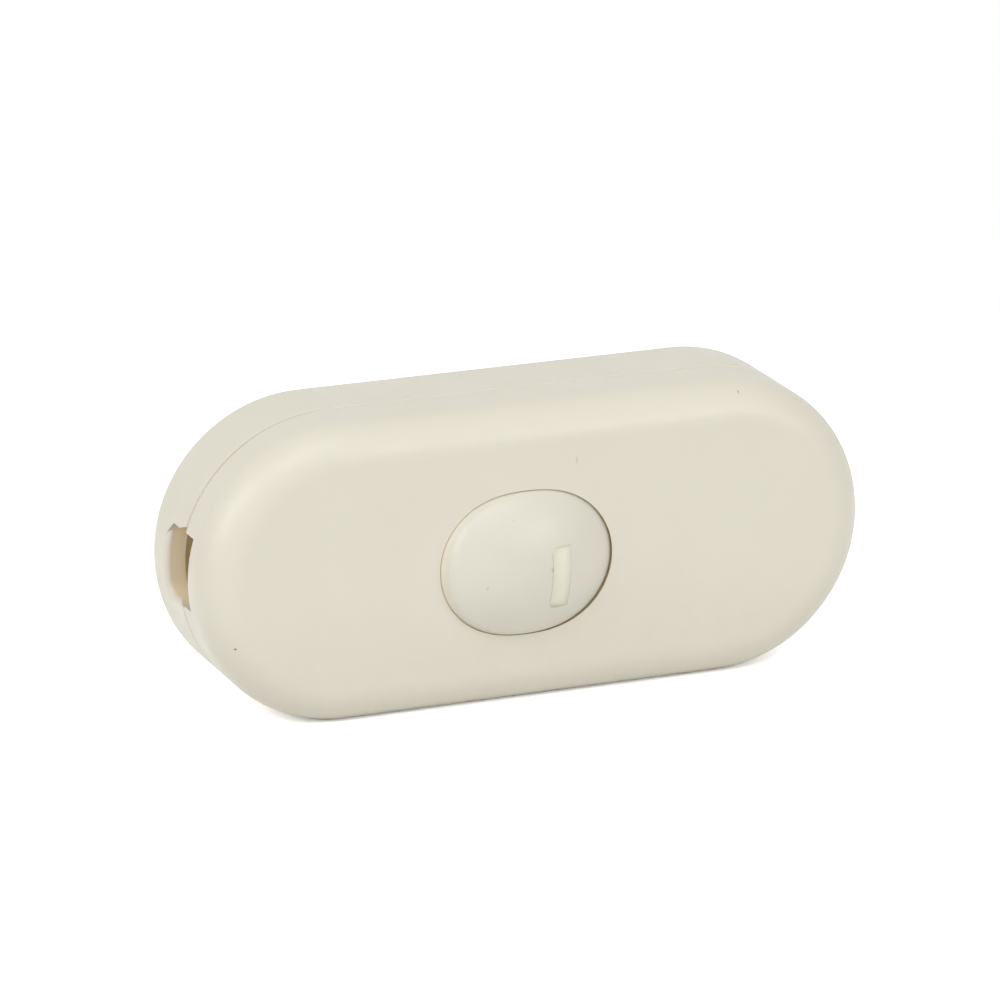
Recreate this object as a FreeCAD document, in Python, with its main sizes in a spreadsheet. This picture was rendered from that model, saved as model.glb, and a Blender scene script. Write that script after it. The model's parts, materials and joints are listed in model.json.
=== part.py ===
"""Inline cord switch: two moulded shells, an oval rocker and the switch works inside them.

Frame: +X along the housing, the rocker faces -Y, +Z up. The housing stands on its long flat side, and the
origin is the middle of that side at half the housing's depth. Millimetres and degrees.
"""
import FreeCAD, Part
import math
import os
import re

import Sketcher

DIMENSIONS = {
    # Housing: a pill outline split by a seam that runs round the side.
    "housing_length": 60.2,
    "housing_height": 26.0,
    "housing_depth": 14.3,
    "cover_depth": 6.44,
    "side_wall": 1.8,
    "face_wall": 2.0,
    "front_rounding": 3.2,
    "back_rounding": 2.0,
    "inner_rounding": 1.0,
    "seam_rounding": 0.15,
    "seam_gap": 0.22,
    "seam_groove": 0.45,
    "lip_height": 1.0,
    "lip_thickness": 0.85,
    "lip_clearance": 0.08,
    # Cord slots, one through each round end.
    "slot_height": 6.3,
    "slot_centre": 13.6,
    "slot_in_cover": 2.2,
    "slot_in_shell": 3.4,
    "slot_corner": 1.0,
    "slot_chamfer": 0.8,
    "slot_mouth": 0.5,
    "slot_mouth_room": 0.1,
    "slot_lead": 0.4,
    "slot_lead_depth": 1.2,
    # Rocker and its opening. Both are turned about the hinge line, so the gap between them stays even.
    "rocker_offset": -1.5,
    "rocker_height": 12.6,
    "opening_half_length": 7.81,
    "opening_half_height": 6.32,
    "opening_gap": 0.08,
    "hinge_depth": 2.95,
    "dome_rise": 2.7,
    "dome_long_radius": 13.4,
    "dome_cross_radius": 9.2,
    "dome_edge": 1.1,
    "rocker_wall": 1.1,
    "hollow_rise": 0.3,
    "rocker_web": 1.2,
    "skirt_back": 0.6,
    "rest_tilt": 6.0,
    "bar_width": 1.8,
    "bar_height": 5.5,
    "bar_offset": 1.72,
    "bar_drop": 0.94,
    "bar_depth": 0.3,
    "bar_corner": 0.4,
    # Hinge pins of the rocker and their bearings in the cover.
    "pin_radius": 1.0,
    "pin_clearance": 0.05,
    "pin_end_gap": 0.25,
    "bearing_start": 6.95,
    "bearing_width": 1.5,
    "bearing_half_length": 2.3,
    "bearing_reach": 1.7,
    "bearing_mouth": 1.7,
    # Stem, plunger and spring along the rocker's own depth axis.
    "stem_radius": 2.0,
    "stem_reach": 3.6,
    "bore_radius": 1.3,
    "bore_depth": 6.2,
    "plunger_clearance": 0.05,
    "plunger_back": 1.2,
    "plunger_shoulder": 4.0,
    "tip_radius": 0.8,
    "tip_reach": 5.8,
    "tip_rounding": 0.75,
    "tip_gap": 0.08,
    "spring_wire": 0.16,
    "spring_radius": 0.95,
    "spring_turns": 5.0,
    "spring_end_gap": 0.03,
    # See-saw blade and its contacts.
    "blade_angle": 8.0,
    "blade_half_length": 6.4,
    "blade_width": 3.6,
    "blade_thickness": 0.5,
    "bead_radius": 0.7,
    "bead_drop": 0.8,
    "saddle_clearance": 0.05,
    "saddle_half_length": 1.3,
    "contact_arm": 5.2,
    "contact_radius": 1.1,
    "moving_contact_thickness": 0.6,
    "fixed_contact_thickness": 0.7,
    "contact_gap": 0.03,
    "stop_half_length": 0.8,
    "stop_gap": 0.06,
    # Terminal plates, their wire clamps and screws.
    "plate_thickness": 0.8,
    "strip_half_width": 1.8,
    "strip_end": 1.6,
    "terminal_rise": 6.6,
    "pad_half": 2.6,
    "link_half_width": 1.4,
    "clamp_plate_half": 2.2,
    "clamp_plate_thickness": 0.8,
    "clamp_plate_rounding": 0.35,
    "terminal_head_radius": 2.0,
    "terminal_head_height": 1.5,
    "terminal_screw_radius": 1.2,
    "terminal_screw_length": 3.0,
    "pedestal_margin": 0.4,
    "pedestal_clearance": 0.3,
    "barrier_thickness": 0.8,
    "barrier_half_length": 8.0,
    "barrier_rise": 3.65,
    "barrier_clearance": 0.6,
    # Cord clamps behind the slots, placed from the ends of the housing.
    "cord_clamp_place": 8.0,
    "cord_clamp_width": 3.8,
    "cord_clamp_half_length": 7.3,
    "cord_clamp_thickness": 1.5,
    "cord_clamp_corner": 1.2,
    "cord_clamp_tooth": 0.5,
    "cord_clamp_drop": 0.1,
    "tooth_clearance": 0.08,
    "clamp_screw_spread": 5.4,
    "clamp_post_radius": 1.85,
    "clamp_screw_radius": 1.0,
    "clamp_screw_length": 4.6,
    "clamp_head_radius": 1.8,
    "clamp_head_height": 1.2,
    # Housing screws from the back into bosses of the cover.
    "boss_rise": 7.8,
    "boss_clearance": 0.4,
    "shell_boss_radius": 2.9,
    "cover_boss_radius": 2.4,
    "boss_gap": 0.1,
    "screw_radius": 1.1,
    "screw_length": 7.2,
    "screw_head_radius": 1.9,
    "screw_head_height": 1.6,
    "head_recess": 4.1,
    "head_clearance": 0.2,
    "shank_clearance": 0.2,
    # Shared by every screw.
    "thread_clearance": 0.02,
    "hole_tail": 0.4,
    "drive_width": 0.5,
    "drive_depth": 0.6,
    "head_rounding": 0.35,
}

# Levels along Y, from the front face to the back face.
FRONT = "(-housing_depth / 2)"
CEILING = "(face_wall - housing_depth / 2)"
HINGE = "(hinge_depth - housing_depth / 2)"
SEAM = "(cover_depth - housing_depth / 2)"
FLOOR = "(housing_depth / 2 - face_wall)"
BACK = "(housing_depth / 2)"

# The works stack up from the rocker's hinge: plunger tip, blade, contacts, terminal plates.
APEX = "(hinge_depth + dome_rise)"
TIP_CENTRE = "(tip_reach - tip_radius)"
BEAD = f"({HINGE} + {TIP_CENTRE} * cos(rest_tilt) + tip_radius + tip_gap + bead_drop)"
ARM_BACK = f"({BEAD} - bead_drop * cos(blade_angle) + blade_thickness)"
FIXED_FACE = f"({ARM_BACK} + moving_contact_thickness + contact_gap)"
PLATE = f"({FIXED_FACE} + fixed_contact_thickness)"
PLATE_BACK = f"({PLATE} + plate_thickness)"

# Other shared places.
MIDDLE = "(housing_height / 2)"
OPENING_REACH = "(sqrt(opening_half_length ^ 2 + hinge_depth ^ 2) - hinge_depth)"
BARREL_RADIUS = f"(({OPENING_REACH} ^ 2 + opening_half_height ^ 2) / (2 * {OPENING_REACH}))"
BARREL_CORE = f"({OPENING_REACH} + hinge_depth - {BARREL_RADIUS})"
CLAMP_SEAT = f"({SEAM} + cord_clamp_drop)"
SLOT_FLOOR = f"({SEAM} + slot_in_shell)"
SLOT_LOW = "(slot_centre - slot_height / 2)"
SLOT_HIGH = "(slot_centre + slot_height / 2)"
CONTACT_X = "(rocker_offset - contact_arm)"
HEAD_SEAT = f"({BACK} - head_recess)"

# From each end of the housing inwards come a cord clamp, a screw boss and a terminal.
CLAMP_X = "(housing_length / 2 - cord_clamp_place)"
BOSS_X = f"({CLAMP_X} - cord_clamp_width / 2 - boss_clearance - shell_boss_radius)"
TERMINAL_X = f"({BOSS_X} - shell_boss_radius - boss_clearance - pad_half)"
UPPER_TERMINALS = f"({MIDDLE} + terminal_rise)"
LOWER_TERMINALS = f"({MIDDLE} - terminal_rise)"

BOSSES = [(f"-{BOSS_X}", f"({MIDDLE} + boss_rise)"), (BOSS_X, f"({MIDDLE} - boss_rise)")]
TERMINALS = {
    "line": (f"-{TERMINAL_X}", UPPER_TERMINALS),
    "load": (TERMINAL_X, UPPER_TERMINALS),
    "left_neutral": (f"-{TERMINAL_X}", LOWER_TERMINALS),
    "right_neutral": (TERMINAL_X, LOWER_TERMINALS),
}
CLAMP_SIDES = {"left": "-1", "right": "1"}
CLAMP_SCREWS = [
    (f"{side} * {CLAMP_X}", f"(slot_centre + {end} * clamp_screw_spread)")
    for side in CLAMP_SIDES.values()
    for end in ("-1", "1")
]

TOUCH = 1e-4

# Which way each origin plane of a body faces along the axis that it stands across.
PLANE_FACING = {"XY_Plane": 1, "XZ_Plane": -1, "YZ_Plane": 1}

doc = FreeCAD.newDocument("inline_cord_switch")
sheet = doc.addObject("Spreadsheet::Sheet", "dims")
for row, (alias, size) in enumerate(DIMENSIONS.items(), start=1):
    sheet.set(f"A{row}", str(size))
    sheet.setAlias(f"A{row}", alias)
doc.recompute()


def bind(text):
    """Points the size names of a formula at the sheet."""
    return re.sub(r"\b([a-z][a-z_]*)\b(?!\()", r"dims.\1", text)


def number(text):
    """Works out a formula of sizes."""
    return float(sheet.evalExpression(bind(text)))


def new_body(name):
    """A sub-part of its own, whose label names its file."""
    body = doc.addObject("PartDesign::Body", name)
    body.Label = name
    return body


def place(body, x, y, z, turn="0"):
    """Sets where a body's own origin stands and how far it is turned about Z."""
    body.Placement = FreeCAD.Placement(
        FreeCAD.Vector(number(x), number(y), number(z)),
        FreeCAD.Rotation(FreeCAD.Vector(0, 0, 1), number(turn)),
    )
    for axis, text in zip("xyz", (x, y, z)):
        body.setExpression(f"Placement.Base.{axis}", bind(text))


def new_sketch(body, name, plane, level):
    """A sketch across one of the body's axes, at a level along that axis."""
    sketch = body.newObject("Sketcher::SketchObject", name)
    support = next(part for part in body.Origin.OriginFeatures if part.Role == plane)
    sketch.AttachmentSupport = [(support, "")]
    sketch.MapMode = "FlatFace"
    sketch.setExpression("AttachmentOffset.Base.z", bind(f"{PLANE_FACING[plane]} * ({level})"))
    return sketch


def measure(sketch, text, *constraint):
    """Adds a dimension to a sketch and ties it to a formula."""
    index = sketch.addConstraint(Sketcher.Constraint(*constraint, number(text)))
    sketch.setExpression(f"Constraints[{index}]", bind(text))


def hold(sketch, geometry, point, across, along):
    """Holds a point of a sketch at two distances from the sketch's origin."""
    measure(sketch, across, "DistanceX", -1, 1, geometry, point)
    measure(sketch, along, "DistanceY", -1, 1, geometry, point)


def vector(across, along):
    """A point of a sketch."""
    return FreeCAD.Vector(number(across), number(along), 0)


def add_arc(sketch, centre, radius, start, end):
    """An arc about a held centre."""
    circle = Part.Circle(vector(*centre), FreeCAD.Vector(0, 0, 1), number(radius))
    arc = sketch.addGeometry(Part.ArcOfCircle(circle, start, end), False)
    hold(sketch, arc, 3, *centre)
    measure(sketch, radius, "Radius", arc)
    return arc


def add_line(sketch, start, end):
    """A straight side between two points."""
    return sketch.addGeometry(Part.LineSegment(start, end), False)


def add_axis(sketch, across, low, high):
    """An upright construction line that a profile is turned about."""
    axis = sketch.addGeometry(Part.LineSegment(vector(across, low), vector(across, high)), True)
    hold(sketch, axis, 1, across, low)
    hold(sketch, axis, 2, across, high)


def join(sketch, *ends):
    """Makes the ends of sides meet, given as pairs of side and end."""
    for first, second in zip(ends[::2], ends[1::2]):
        sketch.addConstraint(Sketcher.Constraint("Coincident", *first, *second))


def polygon(*corners):
    """A closed outline of straight sides."""
    def draw(sketch):
        points = [vector(*corner) for corner in corners]
        following = points[1:] + points[:1]
        sides = [add_line(sketch, start, end) for start, end in zip(points, following)]
        for side, after in zip(sides, sides[1:] + sides[:1]):
            join(sketch, (side, 2), (after, 1))
        for side, corner in zip(sides, corners):
            hold(sketch, side, 1, *corner)
    return draw


def rectangle(left, right, low, high):
    """An upright rectangle between four limits."""
    return polygon((left, low), (right, low), (right, high), (left, high))


def circles(centres, radius):
    """Equal circles about a list of centres."""
    def draw(sketch):
        for centre in centres:
            circle = Part.Circle(vector(*centre), FreeCAD.Vector(0, 0, 1), number(radius))
            index = sketch.addGeometry(circle, False)
            hold(sketch, index, 3, *centre)
            measure(sketch, radius, "Radius", index)
    return draw


def several(*drawings):
    """More than one outline in one sketch."""
    def draw(sketch):
        for drawing in drawings:
            drawing(sketch)
    return draw


def pill(half_length, radius, z):
    """Two straight runs and two half-round ends, about a height."""
    centre = f"({half_length} - {radius})"
    low, high = f"({z} - {radius})", f"({z} + {radius})"

    def draw(sketch):
        quarter = math.pi / 2
        right = add_arc(sketch, (centre, z), radius, -quarter, quarter)
        left = add_arc(sketch, (f"-{centre}", z), radius, quarter, 3 * quarter)
        top = add_line(sketch, vector(centre, high), vector(f"-{centre}", high))
        bottom = add_line(sketch, vector(f"-{centre}", low), vector(centre, low))
        join(sketch, (right, 2), (top, 1), (top, 2), (left, 1))
        join(sketch, (left, 2), (bottom, 1), (bottom, 2), (right, 1))
        for arc in (right, left):
            for end in (1, 2):
                sketch.addConstraint(Sketcher.Constraint("Vertical", arc, end, arc, 3))
    return draw


def housing_outline(inset="0"):
    """The housing's outline, drawn in by an inset."""
    return pill(f"(housing_length / 2 - {inset})", f"(housing_height / 2 - {inset})", MIDDLE)


def extrude(body, name, plane, low, high, drawing, cut=False):
    """Pads an outline between two levels across a plane, or cuts it out, and checks that it took effect."""
    before = body.Shape.Volume if body.Tip else 0.0
    outward = PLANE_FACING[plane] > 0
    level = low if outward != cut else high
    sketch = new_sketch(body, f"{name}_outline", plane, level)
    drawing(sketch)
    feature = body.newObject("PartDesign::Pocket" if cut else "PartDesign::Pad", name)
    feature.Profile = sketch
    feature.setExpression("Length", bind(f"({high}) - ({low})"))
    doc.recompute()
    change = body.Shape.Volume - before
    if (change >= 0) == cut:
        raise RuntimeError(f"{body.Label} {name} changed the volume by {change}")
    return feature


def pad(body, name, low, high, drawing):
    """Adds an outline between two levels along Y."""
    return extrude(body, name, "XZ_Plane", low, high, drawing)


def pocket(body, name, low, high, drawing):
    """Cuts an outline out between two levels along Y."""
    return extrude(body, name, "XZ_Plane", low, high, drawing, cut=True)


def round_edges(body, name, radius, chosen):
    """Rounds the edges of the body so far that a test picks."""
    base = body.Tip
    names = [f"Edge{index}" for index, edge in enumerate(base.Shape.Edges, start=1) if chosen(edge)]
    fillet = body.newObject("PartDesign::Fillet", name)
    fillet.Base = (base, names)
    fillet.setExpression("Radius", bind(radius))
    doc.recompute()


def samples(edge):
    """Five points along an edge."""
    first, last = edge.ParameterRange
    return [edge.valueAt(first + (last - first) * step / 4) for step in range(5)]


def lies_at(level):
    """Picks the edges that lie at one level along Y."""
    height = number(level)
    return lambda edge: all(abs(point.y - height) < TOUCH for point in samples(edge))


def on_outline(inset="0"):
    """Picks the edges that lie on the side of the housing, drawn in by an inset."""
    straight = number("housing_length / 2 - housing_height / 2")
    middle, radius = number(MIDDLE), number(f"housing_height / 2 - {inset}")

    def distance(point):
        return math.hypot(max(abs(point.x) - straight, 0.0), point.z - middle)
    return lambda edge: all(abs(distance(point) - radius) < TOUCH for point in samples(edge))


def shell_edges(level, inset="0"):
    """Picks the edges at one level that run round the housing's outline, drawn in by an inset."""
    at_level, at_side = lies_at(level), on_outline(inset)
    return lambda edge: at_level(edge) and at_side(edge)


def barrel_profile(x, z, shrink):
    """Half of the barrel that the rocker's skirt and its opening are turned from, with its own axis."""
    radius = f"({BARREL_RADIUS} - {shrink})"
    low, high = f"({z} - {radius})", f"({z} + {radius})"

    def draw(sketch):
        quarter = math.pi / 2
        arc = add_arc(sketch, (f"{x} + {BARREL_CORE}", z), radius, -quarter, quarter)
        ends = sketch.Geometry[arc].StartPoint, sketch.Geometry[arc].EndPoint
        bottom, top = vector(x, low), vector(x, high)
        sides = [add_line(sketch, *side) for side in ((ends[1], top), (top, bottom), (bottom, ends[0]))]
        join(sketch, (arc, 2), (sides[0], 1), (sides[0], 2), (sides[1], 1))
        join(sketch, (sides[1], 2), (sides[2], 1), (sides[2], 2), (arc, 1))
        hold(sketch, sides[1], 1, x, high)
        hold(sketch, sides[1], 2, x, low)
        for end in (1, 2):
            sketch.addConstraint(Sketcher.Constraint("Vertical", arc, end, arc, 3))
        add_axis(sketch, x, low, high)
    return draw


def beyond_arc(centre, radius, low, high, outside):
    """The region between an arc and an upright line outside it, from one height to another."""
    def draw(sketch):
        swings = [math.asin(number(height) / number(radius)) for height in (low, high)]
        first, last = low, high
        if number(outside) < number(centre):
            swings = [math.pi - swing for swing in reversed(swings)]
            first, last = high, low
        arc = add_arc(sketch, (centre, "0"), radius, *swings)
        measure(sketch, first, "DistanceY", -1, 1, arc, 1)
        measure(sketch, last, "DistanceY", -1, 1, arc, 2)
        ends = sketch.Geometry[arc].StartPoint, sketch.Geometry[arc].EndPoint
        corners = vector(outside, last), vector(outside, first)
        sides = [add_line(sketch, *side) for side in ((ends[1], corners[0]), corners, (corners[1], ends[0]))]
        join(sketch, (arc, 2), (sides[0], 1), (sides[0], 2), (sides[1], 1))
        join(sketch, (sides[1], 2), (sides[2], 1), (sides[2], 2), (arc, 1))
        hold(sketch, sides[1], 1, outside, last)
        hold(sketch, sides[1], 2, outside, first)
    return draw


def turn_profile(body, name, kind, sketch, axis, degrees="360"):
    """Turns a sketch about one of its own lines, adding or cutting."""
    feature = body.newObject(f"PartDesign::{kind}", name)
    feature.Profile = sketch
    feature.ReferenceAxis = (sketch, [axis])
    feature.setExpression("Angle", bind(degrees))
    doc.recompute()
    return feature


def drive_slots(centres, length):
    """A screwdriver slot across each of a list of screw heads."""
    return several(*(
        rectangle(f"{x} - {length}", f"{x} + {length}", f"{z} - drive_width / 2", f"{z} + drive_width / 2")
        for x, z in centres
    ))


def screws(name, centres, seat, facing, head_radius, head_height, radius, length):
    """Slotted screws along Y in one body: the heads stand on the seat and face front (-1) or back (1)."""
    body = new_body(name)
    top = f"({seat} + {facing} * {head_height})"
    end = f"({seat} - {facing} * {length})"
    drive = f"({top} - {facing} * drive_depth)"
    pairs = [(seat, top), (end, seat), (drive, top)]
    head, shank, slot = [pair if facing > 0 else pair[::-1] for pair in pairs]
    pad(body, f"{name}_heads", *head, circles(centres, head_radius))
    round_edges(body, f"{name}_rounding", "head_rounding", lies_at(top))
    pad(body, f"{name}_shanks", *shank, circles(centres, radius))
    pocket(body, f"{name}_drive", *slot, drive_slots(centres, f"({head_radius} + drive_width)"))
    return body


def make_front_cover():
    """The shallow half: rocker opening, hinge bearings and blind bosses for the housing screws."""
    body = new_body("front_cover")
    rim = f"({SEAM} - seam_gap)"
    pad(body, "cover_block", FRONT, rim, housing_outline())
    round_edges(body, "cover_front_rounding", "front_rounding", shell_edges(FRONT))
    round_edges(body, "cover_seam_rounding", "seam_rounding", shell_edges(rim))
    pad(body, "cover_land", rim, SEAM, housing_outline("seam_groove"))
    pocket(body, "cover_cavity", CEILING, SEAM, housing_outline("side_wall"))
    round_edges(body, "cover_inner_rounding", "inner_rounding", shell_edges(CEILING, "side_wall"))
    rebate = "(side_wall - lip_thickness - lip_clearance)"
    pocket(body, "cover_rebate", f"{SEAM} - lip_height - lip_clearance", SEAM, housing_outline(rebate))
    notch = rectangle(f"{SEAM} - slot_in_cover", f"{SEAM} + slot_in_shell", SLOT_LOW, SLOT_HIGH)
    extrude(body, "cover_slots", "YZ_Plane", "-housing_length", "housing_length", notch, cut=True)

    opening = new_sketch(body, "opening_outline", "XZ_Plane", HINGE)
    barrel_profile("rocker_offset", "rocker_height", "0")(opening)
    turn_profile(body, "rocker_opening", "Groove", opening, "Axis0")

    pad(body, "cover_bosses", CEILING, f"{SEAM} - boss_gap", circles(BOSSES, "cover_boss_radius"))
    pilot = "(screw_radius + thread_clearance)"
    tail = f"{HEAD_SEAT} - screw_length - hole_tail"
    pocket(body, "cover_pilots", tail, SEAM, circles(BOSSES, pilot))

    for side, sign in (("upper", "1"), ("lower", "-1")):
        near = f"(rocker_height + {sign} * bearing_start)"
        far = f"(rocker_height + {sign} * (bearing_start + bearing_width))"
        limits = (near, far) if sign == "1" else (far, near)
        block = rectangle(
            "rocker_offset - bearing_half_length", "rocker_offset + bearing_half_length", *limits,
        )
        pad(body, f"{side}_bearing", CEILING, f"{HINGE} + bearing_reach", block)
    hole_end = "(bearing_start + bearing_width + 2 * pin_end_gap)"
    across = (f"rocker_height - {hole_end}", f"rocker_height + {hole_end}")
    hinge_line = circles([("rocker_offset", HINGE)], "(pin_radius + pin_clearance)")
    extrude(body, "bearing_holes", "XY_Plane", *across, hinge_line, cut=True)
    mouth = rectangle(
        "rocker_offset - bearing_mouth / 2", "rocker_offset + bearing_mouth / 2",
        HINGE, f"{HINGE} + 2 * bearing_reach",
    )
    extrude(body, "bearing_mouths", "XY_Plane", *across, mouth, cut=True)
    return body


def add_bell_mouths(body):
    """Cuts the rear shell's cord slots: soft edges where the cord bends, a wider start at the seam."""
    through = ("YZ_Plane", "-housing_length", "housing_length")
    slot = polygon(
        (SEAM, SLOT_LOW), (SLOT_FLOOR, SLOT_LOW), (SLOT_FLOOR, f"{SLOT_HIGH} - slot_chamfer"),
        (f"{SLOT_FLOOR} - slot_chamfer", SLOT_HIGH), (SEAM, SLOT_HIGH),
    )
    extrude(body, "shell_slots", *through, slot, cut=True)
    at_floor, outside = lies_at(SLOT_FLOOR), on_outline()
    seam, floor = number(SEAM), number(SLOT_FLOOR)
    low, soft_end = number(SLOT_LOW), number(f"{SLOT_HIGH} - slot_chamfer")
    round_edges(
        body, "slot_corner_rounding", "slot_corner",
        lambda edge: at_floor(edge) and edge.BoundBox.XLength > TOUCH
        and max(abs(edge.BoundBox.ZMin - low), abs(edge.BoundBox.ZMax - low)) < TOUCH,
    )

    def in_soft_part(point):
        return seam - TOUCH < point.y < floor + TOUCH and low - TOUCH < point.z < soft_end + TOUCH
    room = f"({BACK} - back_rounding - {SLOT_FLOOR} - slot_mouth_room)"
    round_edges(
        body, "slot_mouth_rounding", f"min(slot_mouth; {room})",
        lambda edge: outside(edge) and all(in_soft_part(point) for point in samples(edge)),
    )
    lead = several(*(
        polygon((SEAM, side), (f"{SEAM} + slot_lead_depth", side), (SEAM, f"{side} + {sign} * slot_lead"))
        for side, sign in ((SLOT_LOW, "-1"), (SLOT_HIGH, "1"))
    ))
    extrude(body, "slot_leads", *through, lead, cut=True)


def make_rear_shell():
    """The deep half: seam lip, cord slots, clamp beds, terminal pedestals and screw bosses."""
    body = new_body("rear_shell")
    pad(body, "shell_block", SEAM, BACK, housing_outline())
    round_edges(body, "shell_back_rounding", "back_rounding", shell_edges(BACK))
    pocket(body, "shell_cavity", SEAM, FLOOR, housing_outline("side_wall"))
    round_edges(body, "shell_inner_rounding", "inner_rounding", shell_edges(FLOOR, "side_wall"))
    add_bell_mouths(body)
    round_edges(body, "shell_seam_rounding", "seam_rounding", shell_edges(SEAM))
    lip = several(housing_outline("(side_wall - lip_thickness)"), housing_outline("side_wall"))
    pad(body, "shell_lip", f"{SEAM} - lip_height", SEAM, lip)
    lip_gap = rectangle(
        f"{SEAM} - 2 * lip_height", SEAM, f"{SLOT_LOW} - slot_lead", f"{SLOT_HIGH} + slot_lead",
    )
    extrude(body, "lip_gaps", "YZ_Plane", "-housing_length", "housing_length", lip_gap, cut=True)

    pad(body, "shell_bosses", SEAM, FLOOR, circles(BOSSES, "shell_boss_radius"))
    pocket(body, "head_recesses", HEAD_SEAT, BACK, circles(BOSSES, "(screw_head_radius + head_clearance)"))
    pocket(body, "shank_holes", SEAM, HEAD_SEAT, circles(BOSSES, "(screw_radius + shank_clearance)"))

    for side, sign in CLAMP_SIDES.items():
        centre = f"{sign} * {CLAMP_X}"
        bed = rectangle(
            f"{centre} - cord_clamp_width / 2", f"{centre} + cord_clamp_width / 2", SLOT_LOW, SLOT_HIGH,
        )
        pad(body, f"{side}_clamp_bed", SLOT_FLOOR, FLOOR, bed)
    pad(body, "clamp_posts", CLAMP_SEAT, FLOOR, circles(CLAMP_SCREWS, "clamp_post_radius"))
    clamp_tail = f"{CLAMP_SEAT} + clamp_screw_length - cord_clamp_thickness + hole_tail"
    clamp_pilot = circles(CLAMP_SCREWS, "(clamp_screw_radius + thread_clearance)")
    pocket(body, "clamp_pilots", CLAMP_SEAT, clamp_tail, clamp_pilot)

    half = "(pad_half - pedestal_margin)"
    pedestals = several(*(
        rectangle(f"{x} - {half}", f"{x} + {half}", f"{z} - {half}", f"{z} + {half}")
        for x, z in TERMINALS.values()
    ))
    pad(body, "terminal_pedestals", PLATE_BACK, FLOOR, pedestals)
    strip = "(strip_half_width - pedestal_margin)"
    strips = several(*(
        rectangle(f"{x} - {strip}", f"{x} + {strip}", f"rocker_height - {strip}", f"rocker_height + {strip}")
        for x in (CONTACT_X, "rocker_offset", "(rocker_offset + contact_arm)")
    ))
    pad(body, "strip_pedestals", PLATE_BACK, FLOOR, strips)
    screw_tail = f"{PLATE} - clamp_plate_thickness + terminal_screw_length + hole_tail"
    clear = circles(list(TERMINALS.values()), "(terminal_screw_radius + pedestal_clearance)")
    pocket(body, "terminal_screw_wells", PLATE_BACK, screw_tail, clear)
    barrier_high = "(rocker_height - strip_half_width - barrier_clearance)"
    barrier = rectangle(
        "-barrier_half_length", "barrier_half_length", f"{barrier_high} - barrier_thickness", barrier_high,
    )
    pad(body, "barrier", f"{FLOOR} - barrier_rise", FLOOR, barrier)
    return body


def make_rocker_button():
    """The oval rocker, modelled square about its hinge line and then tilted to its ON rest."""
    body = new_body("rocker_button")
    skirt = new_sketch(body, "skirt_outline", "XZ_Plane", "0")
    barrel_profile("0", "0", "opening_gap")(skirt)
    turn_profile(body, "skirt", "Revolution", skirt, "Axis0")
    dome = new_sketch(body, "dome_outline", "YZ_Plane", "0")
    axis = f"(dome_long_radius - {APEX})"
    ends = ("-opening_half_height", "opening_half_height")
    beyond_arc(
        f"({axis} + dome_long_radius - dome_cross_radius)", "dome_cross_radius", *ends,
        f"({axis} + dome_long_radius + opening_half_length)",
    )(dome)
    add_axis(dome, axis, *ends)
    turn_profile(body, "dome", "Groove", dome, "Axis0")
    round_edges(
        body, "dome_edge_rounding", "dome_edge",
        lambda edge: all(point.y < -TOUCH for point in samples(edge)),
    )

    far = "2 * opening_half_length"
    pocket(body, "skirt_trim", "skirt_back", far, rectangle(f"-{far}", far, f"-{far}", far))
    hollow_half = "(opening_half_length - opening_gap - rocker_wall)"
    hollow_radius = "(opening_half_height - opening_gap - rocker_wall)"
    roof = "(-hinge_depth - hollow_rise)"
    pocket(body, "hollow", roof, "skirt_back", pill(hollow_half, hollow_radius, "0"))
    web_end = f"({hollow_radius} + rocker_wall / 2)"
    web = rectangle("-rocker_web / 2", "rocker_web / 2", f"-{web_end}", web_end)
    pad(body, "web", roof, "skirt_back", web)
    pad(body, "stem", f"{roof} - hollow_rise", "stem_reach", circles([("0", "0")], "stem_radius"))
    pin_end = "(bearing_start + bearing_width + pin_end_gap)"
    inner_end = "((stem_radius + bore_radius) / 2)"
    pin = circles([("0", "0")], "pin_radius")
    extrude(body, "upper_pin", "XY_Plane", inner_end, pin_end, pin)
    extrude(body, "lower_pin", "XY_Plane", f"-{pin_end}", f"-{inner_end}", pin)
    pocket(body, "stem_bore", "stem_reach - bore_depth", "stem_reach", circles([("0", "0")], "bore_radius"))

    bar_left = "(bar_offset - bar_width / 2)"
    bar_floor = beyond_arc(
        f"(dome_cross_radius - {APEX})", "(dome_cross_radius - bar_depth)",
        "(-bar_drop - bar_height / 2)", "(bar_height / 2 - bar_drop)", f"(-2 * {APEX})",
    )
    extrude(body, "bar_mark", "YZ_Plane", bar_left, f"{bar_left} + bar_width", bar_floor, cut=True)
    left = number(bar_left)
    in_front = -number("hinge_depth")
    round_edges(
        body, "bar_corners", "bar_corner",
        lambda edge: edge.BoundBox.ZLength < TOUCH and edge.BoundBox.YMax < in_front
        and max(abs(edge.BoundBox.XMin - left), abs(edge.BoundBox.XMax - left)) < TOUCH,
    )
    place(body, "rocker_offset", HINGE, "rocker_height", "rest_tilt")
    return body


def make_rocker_plunger():
    """The round-nosed plunger that slides in the rocker's stem."""
    body = new_body("rocker_plunger")
    sketch = new_sketch(body, "plunger_outline", "XY_Plane", "0")
    radius = "(bore_radius - plunger_clearance)"
    shoulder_end = f"plunger_shoulder + {radius} - tip_radius"
    polygon(
        ("0", "plunger_back"), (radius, "plunger_back"), (radius, "plunger_shoulder"),
        ("tip_radius", shoulder_end), ("tip_radius", "tip_reach"), ("0", "tip_reach"),
    )(sketch)
    turn_profile(body, "plunger", "Revolution", sketch, "V_Axis")
    round_edges(body, "plunger_nose", "tip_rounding", lies_at("tip_reach"))
    place(body, "rocker_offset", HINGE, "rocker_height", "rest_tilt")
    return body


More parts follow.
